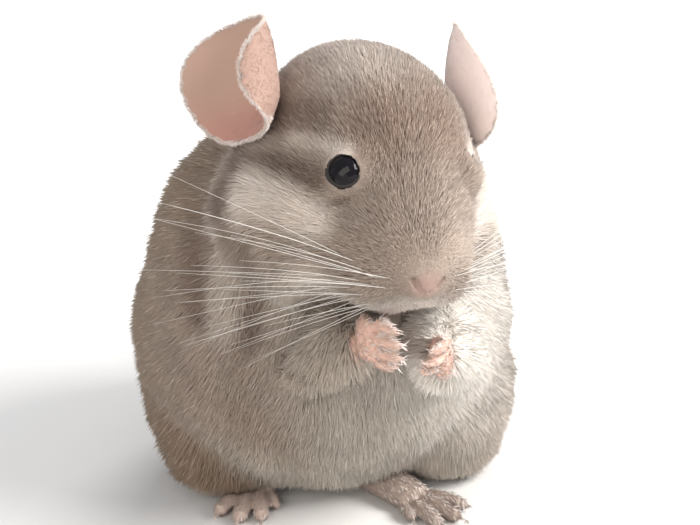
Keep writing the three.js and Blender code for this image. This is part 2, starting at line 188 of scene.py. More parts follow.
def tube(name, points, radii, sides=12):
    """A closed tube through points, from a curve with its own radius at each point."""
    curve = bpy.data.curves.new(name, "CURVE")
    curve.dimensions = "3D"
    curve.bevel_depth = 1.0
    curve.bevel_resolution = max(1, sides // 4)
    curve.use_fill_caps = True
    line = curve.splines.new("NURBS")
    line.points.add(len(points) - 1)
    for p, at, radius in zip(line.points, points, radii):
        p.co = (*at, 1.0)
        p.radius = radius
    line.use_endpoint_u = True
    line.order_u = 3
    line.resolution_u = 6
    piece = bpy.data.objects.new(name, curve)
    bpy.context.scene.collection.objects.link(piece)
    make_active(piece)
    bpy.ops.object.convert(target="MESH")
    piece = bpy.context.view_layer.objects.active
    mesh = bmesh.new()
    mesh.from_mesh(piece.data)
    bmesh.ops.remove_doubles(mesh, verts=mesh.verts, dist=1e-7)
    bmesh.ops.holes_fill(mesh, edges=[e for e in mesh.edges if e.is_boundary])
    bmesh.ops.recalc_face_normals(mesh, faces=mesh.faces)
    mesh.to_mesh(piece.data)
    mesh.free()
    return piece


# The skin: copies of the solids, melted together and drawn in by the depth of the coat

BODY_COAT_DEPTH = 5.0 * MM
HEAD_COAT_DEPTH = 2.4 * MM
NOSE_AT = from_head(0, -47.0, -4.0)


def pad_copy(side_name):
    """The fleshy part of a whisker pad, without the whiskers: the hull of what faces the head."""
    piece = copy_of("whiskers_" + side_name)
    head_shape = BVHTree.FromObject(nodes["head"], bpy.context.evaluated_depsgraph_get())
    mesh = bmesh.new()
    mesh.from_mesh(piece.data)
    far = [v for v in mesh.verts if (head_shape.find_nearest(v.co)[3] or 0) > 0.6 * MM]
    bmesh.ops.delete(mesh, geom=far, context="VERTS")
    hull = bmesh.ops.convex_hull(mesh, input=mesh.verts)
    inside = {g for g in hull["geom_interior"] if isinstance(g, bmesh.types.BMVert)}
    bmesh.ops.delete(mesh, geom=list(inside), context="VERTS")
    old = [f for f in mesh.faces if f not in set(hull["geom"])]
    bmesh.ops.delete(mesh, geom=old, context="FACES_ONLY")
    mesh.normal_update()
    bmesh.ops.recalc_face_normals(mesh, faces=mesh.faces)
    for v in mesh.verts:
        v.co += v.normal * 0.4 * MM
    mesh.to_mesh(piece.data)
    mesh.free()
    return piece


CLOSE = 0.22 * MM  # half the gap between neighbouring solids, and a little more

EYE_CENTRES = {side: np.array(sum(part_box("eye_" + side), Vector()) / 2) for side in ("left", "right")}


def head_depth(p):
    """How far the skin of the head lies inside the coat's outline."""
    depth = np.full(len(p), HEAD_COAT_DEPTH)
    near_nose = np.linalg.norm(p - NOSE_AT, axis=1)
    depth = np.minimum(depth, 0.35 * MM + 0.12 * np.maximum(near_nose - 5 * MM, 0))
    for centre in EYE_CENTRES.values():
        near_eye = np.linalg.norm(p - centre, axis=1)
        depth = np.minimum(depth, 0.3 * MM + 0.3 * np.maximum(near_eye - 6.2 * MM, 0))
    return depth


def body_depth(p):
    low = smooth_step(p[:, 2], 0.0, 16 * MM)
    return BODY_COAT_DEPTH * (0.35 + 0.65 * low)


def drawn_in(piece, depth):
    co, no = points_of(piece), normals_of(piece)
    set_points(piece, co - no * depth(co)[:, None])


TAIL_LINE_MM = [(0, 44, 14), (0, 74, 13), (4, 104, 13), (16, 132, 13), (30, 146, 13)]
TAIL_FLESH_RADII = [6.5 * MM, 5.5 * MM, 5 * MM, 4.4 * MM, 2.4 * MM]


def hull_of(piece):
    mesh = bmesh.new()
    mesh.from_mesh(piece.data)
    hull = bmesh.ops.convex_hull(mesh, input=mesh.verts)
    outer = {g for g in hull["geom"] if isinstance(g, bmesh.types.BMFace)}
    bmesh.ops.delete(mesh, geom=[f for f in mesh.faces if f not in outer], context="FACES_ONLY")
    bmesh.ops.delete(mesh, geom=[v for v in mesh.verts if not v.link_faces], context="VERTS")
    bmesh.ops.recalc_face_normals(mesh, faces=mesh.faces)
    mesh.to_mesh(piece.data)
    mesh.free()
    return piece


body_flesh = joined(
    [copy_of(n, CLOSE) for n in ("torso", "neck", "haunch_left", "haunch_right")]
    + [hull_of(copy_of("head"))],
    "body_flesh",
)
remeshed(body_flesh, 1.7 * MM, 10)
drawn_in(body_flesh, body_depth)

head_flesh = joined([copy_of("head", CLOSE), pad_copy("left"), pad_copy("right")], "head_flesh")
remeshed(head_flesh, 0.75 * MM, 3)
keep_largest(head_flesh)
drawn_in(head_flesh, head_depth)


def small_flesh(node_name, voxel, steps, depth):
    piece = copy_of(node_name)
    remeshed(piece, voxel, steps)
    keep_largest(piece)
    drawn_in(piece, lambda p: np.full(len(p), depth))
    return piece


leg_flesh = [small_flesh("foreleg_" + side, 0.9 * MM, 4, 1.6 * MM) for side in ("left", "right")]
paw_flesh = [small_flesh("forepaw_" + side, 0.5 * MM, 2, 0.25 * MM) for side in ("left", "right")]
foot_flesh = [small_flesh("hind_foot_" + side, 0.6 * MM, 2, 0.4 * MM) for side in ("left", "right")]


def ear_skin(side):
    piece = copy_of("ear_" + side)
    apply_modifier(piece, "SUBSURF", levels=2, render_levels=2)
    apply_modifier(piece, "SMOOTH", factor=0.5, iterations=2)
    return piece


ear_flesh = [ear_skin(side) for side in ("left", "right")]
tail_flesh = tube("tail_flesh", [from_body(*p) for p in TAIL_LINE_MM], TAIL_FLESH_RADII)

BRIDGES = []


def bridge_between(name, start, end, start_radius, end_radius, overshoot=3 * MM):
    """A short hidden limb that carries a paw, foot or ear from the flesh it grows from."""
    start, end = np.asarray(start), np.asarray(end)
    past = unit(end - start) * min(overshoot, start_radius * 0.6)
    points = [start - past + (end - start + 2 * past) * t for t in (0, 0.33, 0.67, 1)]
    radii = [start_radius + (end_radius - start_radius) * t for t in (0, 0.33, 0.67, 1)]
    BRIDGES.append(tube(name, points, radii))


def end_nearest(piece, target, share=0.12):
    """The middle of the part of a piece that lies nearest to a target."""
    co = points_of(piece)
    away = np.linalg.norm(co - np.asarray(target), axis=1)
    count = max(8, int(len(co) * share))
    return co[np.argsort(away)[:count]].mean(0)


BODY_CORE = from_body(0, 4, 62)
for i, side in enumerate((1, -1)):
    elbow = end_nearest(leg_flesh[i], BODY_CORE)
    bridge_between("elbow", elbow, elbow + (BODY_CORE - elbow) * 0.4, 6.5 * MM, 9 * MM)
    wrist = end_nearest(leg_flesh[i], points_of(paw_flesh[i]).mean(0))
    palm = end_nearest(paw_flesh[i], wrist, 0.25)
    bridge_between("wrist", wrist, palm, 4.2 * MM, 2.6 * MM)
    heel = end_nearest(foot_flesh[i], from_body(side * 26, 14, 10))
    bridge_between("heel", heel, from_body(side * 26, 14, 16), 3.6 * MM, 9 * MM)
    ear_root = end_nearest(ear_flesh[i], from_head(side * 14, 14, 6), 0.16)
    bridge_between("ear_root", ear_root, from_head(side * 16, 18, 6), 1.6 * MM, 6 * MM, 0)


def melted(pieces, name):
    """One closed skin from overlapping pieces."""
    whole = pieces[0]
    for piece in pieces[1:]:
        modifier = whole.modifiers.new("Join", "BOOLEAN")
        modifier.operation = "UNION"
        modifier.solver = "MANIFOLD"
        modifier.object = piece
        make_active(whole)
        bpy.ops.object.modifier_apply(modifier=modifier.name)
        bpy.data.objects.remove(piece)
    whole.name = name
    return whole


skin = melted(
    [body_flesh, head_flesh, tail_flesh, *leg_flesh, *BRIDGES, *paw_flesh, *foot_flesh, *ear_flesh],
    "chinchilla_skin",
)
keep_largest(skin)


def divided_near(piece, centre, radius):
    """Makes the faces finer within a radius of a point."""
    make_active(piece)
    bpy.ops.object.mode_set(mode="EDIT")
    bpy.ops.mesh.select_mode(type="FACE")
    bpy.ops.mesh.select_all(action="DESELECT")
    bpy.ops.object.mode_set(mode="OBJECT")
    for face in piece.data.polygons:
        face.select = (face.center - Vector(centre)).length < radius
    bpy.ops.object.mode_set(mode="EDIT")
    bpy.ops.mesh.subdivide(number_cuts=1, smoothness=0.3)
    bpy.ops.object.mode_set(mode="OBJECT")


divided_near(skin, NOSE_AT, 9 * MM)
apply_modifier(skin, "TRIANGULATE")


def blot(where, centre, radii, softness=0.6):
    """How much of a soft marking lies at each point: one in its middle and none outside it."""
    far = np.linalg.norm((where - np.array(centre)) / np.array(radii), axis=1)
    return 1 - smooth_step(far, 1 - softness, 1)


def streak(where, path, width, softness=0.8):
    """As blot, for a soft line through the points of a path."""
    far = np.full(len(where), 1e9)
    for start, end in zip(path, path[1:]):
        start, run = np.array(start, float), np.subtract(end, start).astype(float)
        t = np.clip((where - start) @ run / (run @ run), 0, 1)
        far = np.minimum(far, np.linalg.norm(where - start - t[:, None] * run, axis=1) / width)
    return 1 - smooth_step(far, 1 - softness, 1)


# Nostrils, lips and the folds of the coat behind the right cheek
NOSTRILS = [[(s * 1.3, -48.2, -6.2), (s * 2.6, -48.0, -5.2), (s * 4.6, -46.2, -2.6)] for s in (1, -1)]
LIP_SPLIT = [(0, -48.2, -7.0), (0, -46.5, -10.5), (0, -43.5, -14.0)]
MOUTH = [(-7, -37, -16.5), (-3, -41, -14.5), (0, -43, -13.8), (3, -41, -14.5), (7, -37, -16.5)]
CHEEK_FOLD = [(-33, -24, 104), (-30, -38, 95), (-32, -37, 82), (-32, -32, 68)]
SHOULDER_FOLD = [(-42, -10, 100), (-42, -17, 86), (-41, -22, 70)]


def folds_depth(p):
    face_mm, body_mm = in_head_frame(p), p / MM - WHOLE_SHIFT_MM
    depth = 0.75 * np.max([streak(face_mm, path, 1.3, 0.7) for path in NOSTRILS], axis=0)
    depth += 0.5 * streak(face_mm, LIP_SPLIT, 1.1) + 0.6 * streak(face_mm, MOUTH, 1.3)
    depth -= 2.6 * blot(face_mm, (18, -23, 14.5), (7, 6.5, 8), 1)  # fuller brow in front of the far eye
    depth += 2.6 * streak(body_mm, CHEEK_FOLD, 9, 1) + 2.4 * streak(body_mm, SHOULDER_FOLD, 9, 1)
    return depth * MM


drawn_in(skin, folds_depth)
on_floor = points_of(skin)
on_floor[:, 2] = np.maximum(on_floor[:, 2], FLOOR_GAP)
set_points(skin, on_floor)

# Materials


def plain_material(name, colour, roughness, **sockets):
    material = bpy.data.materials.new(name)
    material.use_nodes = True
    shader = material.node_tree.nodes["Principled BSDF"]
    shader.inputs["Base Color"].default_value = (*colour, 1)
    shader.inputs["Roughness"].default_value = roughness
    for socket, value in sockets.items():
        shader.inputs[socket.replace("_", " ")].default_value = value
    return material


def dress(piece, material):
    piece.data.materials.clear()
    piece.data.materials.append(material)


make_active(skin)
bpy.ops.object.shade_smooth()

# Where each point of the skin belongs

PARTS = ["ear", "forepaw", "hind_foot", "foreleg"]


def part_shapes():
    """One search tree for each kind of part, from the solids."""
    shapes = {}
    for part in PARTS:
        corners, faces = [], []
        for name, node in nodes.items():
            if not name.startswith(part):
                continue
            first = len(corners)
            corners.extend(v.co.copy() for v in node.data.vertices)
            faces.extend([first + i for i in f.vertices] for f in node.data.polygons)
        shapes[part] = BVHTree.FromPolygons(corners, faces)
    return shapes


SHAPES = part_shapes()
skin_points, skin_normals = points_of(skin), normals_of(skin)


def part_distance(part, limit=12 * MM):
    found = (SHAPES[part].find_nearest(Vector(p), limit)[3] for p in skin_points)
    return np.array([limit if d is None else d for d in found])


in_head = in_head_frame(skin_points)
in_body = skin_points / MM - WHOLE_SHIFT_MM
away = {part: part_distance(part) for part in PARTS}
share = {part: 1 - smooth_step(d, 0.9 * MM, 2.2 * MM) for part, d in away.items()}
share["tail"] = smooth_step(in_body[:, 1], 50, 60) * streak(in_body, TAIL_LINE_MM, 13, 0.4)
share["foreleg"] = np.minimum(1 - smooth_step(away["foreleg"], 2.2 * MM, 4 * MM), 1 - share["forepaw"])
head_reach = np.linalg.norm((in_head - [0, -2, 0]) / [34, 46, 34], axis=1)
share["head"] = 1 - smooth_step(head_reach, 1.0, 1.15)

edge_ends = np.empty(len(skin.data.edges) * 2, np.int32)
skin.data.edges.foreach_get("vertices", edge_ends)
edge_ends = edge_ends.reshape(-1, 2)
links = np.bincount(edge_ends.ravel(), minlength=len(skin_points))


def evened(values, steps):
    """Averages values over the skin's neighbouring points."""
    values = np.array(values, float)
    flat = values.reshape(len(values), -1)
    for _ in range(steps):
        total = np.zeros_like(flat)
        for column in range(flat.shape[1]):
            total[:, column] = np.bincount(
                edge_ends[:, 0], flat[edge_ends[:, 1], column], len(flat)
            ) + np.bincount(edge_ends[:, 1], flat[edge_ends[:, 0], column], len(flat))
        flat = 0.5 * flat + 0.5 * total / np.maximum(links, 1)[:, None]
    return flat.reshape(values.shape)


def mixed(base, extra, amount):
    amount = amount if np.ndim(base) == 1 else amount[:, None]
    return base * (1 - amount) + extra * amount


def waves(points, size, seed):
    """Smooth random hills over space, mostly from -1 to 1 and about size apart."""
    draw = np.random.default_rng(SEED + seed)
    total = np.zeros(len(points))
    for _ in range(9):
        way = unit(draw.normal(0, 1, 3))
        rate = (2 * math.pi / size) * draw.uniform(0.7, 1.4)
        total += np.sin(points @ way * rate + draw.uniform(0, 6.3))
    return total / 3


# Ears: whether each point lies on the rim, and which face of the ear it is on
EAR_TURN = np.array(Euler((0, 0.14, 0.17), "XYZ").to_matrix())
EAR_SEAT_MM = {1: (31.8, 21, 16.2), -1: (-28.8, 21, 18)}
EAR_OPENS = {1: 1.12, -1: 1.36}
EAR_LEAN = {1: 0.1, -1: 0.6}
EAR_HALF_HEIGHT_MM = 19.5
EAR_FRONT_MM = {1: (24, 20), -1: (24, 11)}  # width and radius of the curl
EAR_BACK_MM = {1: (29, 45), -1: (29, 29)}

ear_rim, ear_inside, ear_height = (np.zeros(len(skin_points)) for _ in range(3))
ear_outward = np.zeros((len(skin_points), 3))
for sign in (1, -1):
    angle = EAR_OPENS[sign]
    opens = unit(np.array([math.sin(angle), -math.cos(angle), 0.1]))
    front = unit(np.cross(opens, [0.2, EAR_LEAN[sign], 1]))
    axes = np.stack([front, np.cross(front, opens), opens], 1)
    flip = np.array([sign, 1, 1])
    seat = from_head(*EAR_SEAT_MM[sign])
    local = (((skin_points - seat) / MM) @ EAR_TURN * flip) @ axes
    facing = (skin_normals @ EAR_TURN * flip) @ axes
    ahead = local[:, 0] > 0
    width = np.where(ahead, EAR_FRONT_MM[sign][0], EAR_BACK_MM[sign][0])
    radius = np.where(ahead, EAR_FRONT_MM[sign][1], EAR_BACK_MM[sign][1])
    bend = np.arctan2(np.abs(local[:, 0]), radius - local[:, 2])
    rise = local[:, 1] / EAR_HALF_HEIGHT_MM
    out = bend * radius / width / (1 - 0.2 * rise)
    to_centre = np.stack([-local[:, 0], 0 * rise, radius - local[:, 2]], 1)
    face_on = (unit(to_centre) * facing).sum(1)
    inner = smooth_step(face_on, -0.2, 0.4)
    mine = (in_head[:, 0] * sign > 0).astype(float)
    edge_on = 1 - smooth_step(np.abs(face_on), 0.4, 0.85)
    ear_rim += mine * smooth_step(np.hypot(rise, out), 0.55, 0.75) * edge_on
    ear_inside += mine * inner
    ear_height += mine * rise
    radial = np.stack([np.where(ahead, 1, -1) * out, rise, 0 * rise], 1)
    ear_outward += mine[:, None] * ((radial @ axes.T * flip) @ EAR_TURN.T)
ear_outward = unit(ear_outward)

# Length of the coat over the skin, in metres
length = body_depth(skin_points) * 1.55 * (1 + 0.1 * waves(in_body, 11, 1))
head_length = head_depth(skin_points) * 1.6
below_brow = 1 - smooth_step(in_head[:, 2], 4, 18)
head_length *= 1 + 0.9 * smooth_step(np.abs(in_head[:, 0]), 18, 30) * below_brow
head_length += 1.6 * MM * blot(in_head, (18, -22, 15), (7, 6, 8), 0.8)  # fur in front of the far eye
length = mixed(length, head_length, share["head"])
LIMB_LENGTHS = {"foreleg": 8 * MM, "hind_foot": 1.5 * MM, "forepaw": 1.6 * MM}
TAIL_LENGTH = 22 * MM
for part, part_length in LIMB_LENGTHS.items():
    length = mixed(length, part_length, share[part])
length = mixed(length, 0.9 * MM + 2.1 * MM * ear_rim, share["ear"])
length = mixed(length, TAIL_LENGTH, share["tail"])
length = evened(length, 3)

# Lie of the coat: away from the nose over the head, down and back over the body
soft_normals = unit(evened(skin_normals, 4))
from_nose = unit(skin_points - NOSE_AT)
body_lie = np.tile(unit(np.array([0.0, 0.42, -0.9])), (len(skin_points), 1))
body_lie[:, 0] += 0.004 * in_body[:, 0]
across = np.cross(soft_normals, body_lie)
body_lie += across * 0.3 * waves(in_body, 17, 2)[:, None]
lie = mixed(body_lie, from_nose + 0.15 * body_lie, share["head"])
AWAY_FROM_EYE = {"left": 0.3, "right": 1.6}
for side, centre in EYE_CENTRES.items():
    from_eye = np.linalg.norm(skin_points - centre, axis=1)
    parting = AWAY_FROM_EYE[side] * (1 - smooth_step(from_eye, 6.5 * MM, 11 * MM))
    lie += unit(skin_points - centre) * parting[:, None]
lie = mixed(lie, ear_outward, share["ear"])
from_grip = np.linalg.norm(in_body - GRIP_AT_MM, axis=1)
at_wrist = 1 - 0.85 * smooth_step(from_grip, 14, 26)
for sign in (1, -1):
    low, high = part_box("foreleg_" + ("left" if sign > 0 else "right"))
    grip_way = unit(from_body(*GRIP_AT_MM) - np.array(low + high) / 2)
    mine = np.maximum(share["foreleg"], share["forepaw"]) * (in_body[:, 0] * sign > -2)
    lie = mixed(lie, grip_way * at_wrist[:, None] + 1.6 * body_lie * share["foreleg"][:, None], mine)
lie = mixed(lie, unit(np.array([0.0, -1.0, -0.12])), share["hind_foot"])
tail_way = np.stack([0.008 * (in_body[:, 1] - 60).clip(0), np.ones(len(in_body)), 0 * in_body[:, 0]], 1)
lie = mixed(lie, unit(tail_way), share["tail"])
lie = lie - soft_normals * (lie * soft_normals).sum(1)[:, None]
lie = unit(evened(unit(lie), 4))

# Colours of the coat, in linear light
BEIGE_GREY = np.array([0.36, 0.288, 0.238])
BACK_BROWN = np.array([0.30, 0.213, 0.142])
DARK_BROWN = np.array([0.15, 0.105, 0.08])
PALE_CREAM = np.array([0.80, 0.71, 0.63])
BELLY_CREAM = np.array([0.49, 0.44, 0.38])
CHEST_WHITE = np.array([0.88, 0.82, 0.75])
EAR_INSIDE = np.array([0.46, 0.30, 0.235])
EAR_CUP_SHADE = np.array([0.50, 0.25, 0.20])
EAR_OUTSIDE = np.array([0.40, 0.26, 0.21])
FAR_EAR_PAINTED_GLOW = np.array([1.0, 0.84, 0.79])
DOWN_WHITE = np.array([0.9, 0.81, 0.75])
EAR_RIM = np.array([0.92, 0.80, 0.74])
NOSE_PINK = np.array([0.39, 0.265, 0.22])
NOSTRIL_AND_MOUTH_SHADE = np.array([0.20, 0.08, 0.06])
PAW_PINK = np.array([0.74, 0.49, 0.40])
FOOT_GREY_PINK = np.array([0.52, 0.41, 0.35])

# Both sides of the face are marked as the right one
face = in_head * np.where(in_head[:, :1] > 0, [-1, 1, 1], [1, 1, 1])
tint = np.tile(BEIGE_GREY, (len(skin_points), 1))
behind = 1 - share["head"] * (1 - smooth_step(in_head[:, 1], 4, 34))
tint = mixed(tint, BACK_BROWN, smooth_step(in_body[:, 1], -24, 20) * behind)
near_middle = 1 - smooth_step(np.abs(in_body[:, 0] - 10), 16, 46)
front = smooth_step(-soft_normals[:, 1], 0.0, 0.7) * near_middle
under = smooth_step(-soft_normals[:, 2], 0.1, 0.8)
belly = np.maximum(front, under) * (1 - share["head"])
tint = mixed(tint, BELLY_CREAM, belly)
# The chest's own white fur, and painted light: the white is set off towards the far side, where the
# light falls.
white_chest_and_lit_side = (1 - share["head"]) * blot(in_body, (36, -36, 62), (44, 46, 62), 0.9)
tint = mixed(tint, CHEST_WHITE, 0.85 * white_chest_and_lit_side)
# Painted shade: the lower flank on the near side darker and browner, where shade falls.
shaded_low_flank = (1 - smooth_step(in_body[:, 2], 8, 56)) * (1 - belly) * (in_body[:, 0] < 0)
tint = mixed(tint, BACK_BROWN * [0.68, 0.6, 0.5], 0.7 * shaded_low_flank)
tint = mixed(tint, PALE_CREAM, 0.3 * blot(in_head, (-12, 4, 30), (22, 22, 16), 1))
tint = mixed(tint, DARK_BROWN * 1.9, 0.75 * blot(face, (-9, -15, 25), (22, 22, 15), 0.9))
tint = mixed(tint, DARK_BROWN * 1.7, 0.4 * blot(in_head, (12, -4, 28), (18, 24, 14), 0.9))
tint = mixed(tint, DARK_BROWN * 1.2, 0.7 * streak(face, [(-24, -3, 20), (-31, 6, 12)], 9))
tint = mixed(tint, PALE_CREAM, 0.6 * streak(face, [(-20, -17, 19), (-25, -11, 17), (-28, -6, 13)], 4))
tint = mixed(tint, DARK_BROWN, 0.85 * streak(face, [(-25, -16, 9), (-31, -7, 3), (-38, 2, -3)], 6))
# Painted shade: a dark band below the ear, where it meets the neck and shoulder.
tint = mixed(tint, DARK_BROWN, 0.6 * streak(face, [(-30, 12, 4), (-35, 5, -3), (-37, 0, -10)], 7))
tint = mixed(tint, DARK_BROWN, 0.7 * streak(face, [(-19, -26, 9), (-23, -23, 4), (-28, -20, 3)], 2.4))
tint = mixed(tint, PALE_CREAM, 0.9 * streak(face, [(-25, -25, 0), (-31, -16, -1), (-34, -6, -4)], 9))
tint = mixed(tint, BEIGE_GREY * 1.25, 0.6 * blot(face, (-8, -40, 2), (14, 12, 12), 0.9))
tint = mixed(tint, CHEST_WHITE, 0.95 * blot(face, (0, -42, -16), (17, 15, 11), 0.8))
tint = mixed(tint, PALE_CREAM, 0.6 * blot(face, (-22, -30, -16), (14, 16, 9), 0.8))
# Painted light: the far side of the head, where the light falls, paler.
tint = mixed(tint, PALE_CREAM, 0.35 * smooth_step(in_head[:, 0], 14, 30) * share["head"])
# Painted shade: darker along the folds of the coat behind the right cheek and at the shoulder.
tint = mixed(tint, DARK_BROWN * 1.3, 0.75 * streak(in_body, CHEEK_FOLD, 8))
tint = mixed(tint, DARK_BROWN * 1.3, 0.7 * streak(in_body, SHOULDER_FOLD, 8))
# Painted highlight: the roll of fur between the folds made paler.
roll_highlight = streak(in_body, [(-37, -25, 94), (-38, -28, 80), (-38, -27, 66)], 6)
tint = mixed(tint, PALE_CREAM * 0.8, 0.5 * roll_highlight)
tint = tint * (1 + 0.05 * waves(in_body, 15, 3)[:, None])
tint = mixed(tint, NOSE_PINK, blot(in_head, (0, -48, -4), (8.2, 6.5, 6.5), 0.8))
# Painted shade in the nostril openings, along the mouth and in the split of the lip.
nostril_shade = np.max([streak(in_head, path, 0.95, 0.6) for path in NOSTRILS], axis=0)
tint = mixed(tint, NOSTRIL_AND_MOUTH_SHADE, 0.85 * nostril_shade)
lips = np.maximum(streak(in_head, MOUTH, 0.9), 0.7 * streak(in_head, LIP_SPLIT, 0.7))
tint = mixed(tint, NOSTRIL_AND_MOUTH_SHADE * 1.6, 0.8 * lips)
# Forelegs: cream on the near one and white on the far one, partly the white chest fur and partly
# painted light on the far side, where the light falls.
leg_tint_and_far_light = np.tile(BELLY_CREAM * [0.98, 0.92, 0.88], (len(tint), 1))
leg_tint_and_far_light = mixed(leg_tint_and_far_light, CHEST_WHITE, smooth_step(in_body[:, 0], -4, 12))
tint = mixed(tint, leg_tint_and_far_light, 0.9 * share["foreleg"] * smooth_step(in_body[:, 0], -30, 4))
# Painted light on the near hind foot, which lies in shade, and painted shade on the far one, which lies
# in the light.
feet_with_painted_light = FOOT_GREY_PINK * np.where(in_body[:, :1] < 0, 1.35, 0.85)
tint = mixed(tint, feet_with_painted_light, share["hind_foot"])
tint = mixed(tint, PAW_PINK, share["forepaw"])
ear_tint = np.tile(EAR_INSIDE, (len(tint), 1))
# Painted shade: the inside of the ear darker and redder towards the bottom of its cup.
ear_tint = mixed(ear_tint, EAR_CUP_SHADE, 0.8 * (1 - smooth_step(ear_height, -0.8, 0.1)))
ear_tint = mixed(ear_tint, EAR_OUTSIDE, 1 - ear_inside)
ear_tint = mixed(ear_tint, EAR_RIM, ear_rim)
far_ear_lit_outside = (in_head[:, 0] > 0) * (1 - ear_inside) * (1 - ear_rim)
ear_tint = mixed(ear_tint, FAR_EAR_PAINTED_GLOW, far_ear_lit_outside)  # painted light: the far ear's outside is painted as glowing with the light behind it
tint = mixed(tint, ear_tint, share["ear"])
tint = mixed(tint, BACK_BROWN * 1.05, share["tail"])


def paint(piece, colours):
    layer = piece.data.color_attributes.new("tint", "FLOAT_COLOR", "POINT")
    rgba = np.ones((len(colours), 4), np.float32)
    rgba[:, :3] = np.clip(colours, 0, 1)
    layer.data.foreach_set("color", rgba.ravel())


def fur_material(name, roughness, sheen, bump=0.0):
    """A finish that takes its colour from the tint painted on the piece, which holds the coat's own
    colours along with painted light and painted shade.
    """
    material = bpy.data.materials.new(name)
    material.use_nodes = True
    tree = material.node_tree
    shader = tree.nodes["Principled BSDF"]
    shader.inputs["Roughness"].default_value = roughness
    shader.inputs["Sheen Weight"].default_value = sheen
    shader.inputs["Sheen Roughness"].default_value = 0.5
    shader.inputs["Specular IOR Level"].default_value = 0.3
    tint_with_painted_light = tree.nodes.new("ShaderNodeAttribute")
    tint_with_painted_light.attribute_name = "tint"
    tree.links.new(tint_with_painted_light.outputs["Color"], shader.inputs["Base Color"])
    if bump:
        place = tree.nodes.new("ShaderNodeTexCoord")
        grain = tree.nodes.new("ShaderNodeTexNoise")
        grain.inputs["Scale"].default_value = 900
        grain.inputs["Detail"].default_value = 4
        relief = tree.nodes.new("ShaderNodeBump")
        relief.inputs["Strength"].default_value = bump
        relief.inputs["Distance"].default_value = 0.2 * MM
        tree.links.new(place.outputs["Object"], grain.inputs["Vector"])
        tree.links.new(grain.outputs["Fac"], relief.inputs["Height"])
        tree.links.new(relief.outputs["Normal"], shader.inputs["Normal"])
    return material


bare = np.maximum(share["ear"], share["forepaw"])
paint(skin, tint * (0.9 + 0.1 * bare)[:, None])
skin_finish = fur_material("skin_finish", 0.7, 0.1, 0.3)
coat_finish = fur_material("coat_finish", 0.75, 0.2)
dress(skin, skin_finish)

# The coat: thin pointed tufts, rooted in the skin

make_active(skin)
bpy.ops.object.mode_set(mode="EDIT")
bpy.ops.mesh.select_all(action="SELECT")
bpy.ops.uv.smart_project(angle_limit=math.radians(66), island_margin=0.002)
bpy.ops.object.mode_set(mode="OBJECT")
corner_uv = np.empty(len(skin.data.loops) * 2, np.float32)
skin.data.uv_layers.active.data.foreach_get("uv", corner_uv)
corner_uv = corner_uv.reshape(-1, 3, 2)
triangles = np.empty(len(skin.data.polygons) * 3, np.int32)
skin.data.polygons.foreach_get("vertices", triangles)
triangles = triangles.reshape(-1, 3)
corners = skin_points[triangles]
side_a, side_b = corners[:, 1] - corners[:, 0], corners[:, 2] - corners[:, 0]
areas = np.linalg.norm(np.cross(side_a, side_b), axis=1) / 2

LIT_FROM = unit(np.array([-0.3, -0.6, 0.75]))
PATCH = 0.0015  # half of a tuft's patch on the unwrapped skin
FULL = 1.0


